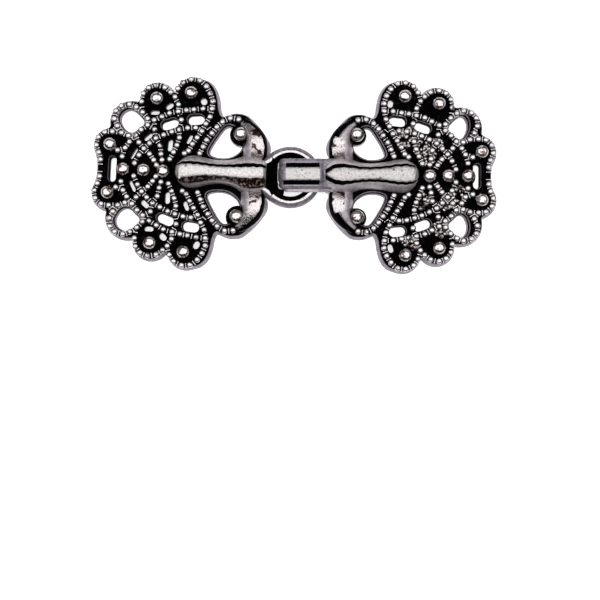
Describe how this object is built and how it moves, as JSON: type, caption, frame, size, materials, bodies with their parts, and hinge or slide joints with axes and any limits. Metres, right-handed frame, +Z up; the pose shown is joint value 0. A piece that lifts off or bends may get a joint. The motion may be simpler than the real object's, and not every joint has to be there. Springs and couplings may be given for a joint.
{
  "type": "hook and eye clasp",
  "caption": "Cast metal hook and eye clasp, fastened: two openwork scroll fans with domes and ribs, a ring on one and a folded hook on the other.",
  "frame": {"origin": "middle of the fastened clasp's footprint, on the plane of its flat back", "axes": "+X along the clasp towards the hook half's tip, +Y across it, +Z up out of its face"},
  "size_m": [0.0626, 0.0308, 0.0048],
  "materials": {
    "eye_half": "polished dark nickel plating",
    "hook_half": "polished dark nickel plating"
  },
  "bodies": {
    "root": {"eye_half": "eye_half", "hook_half": "hook_half"}
  },
  "joints": []
}
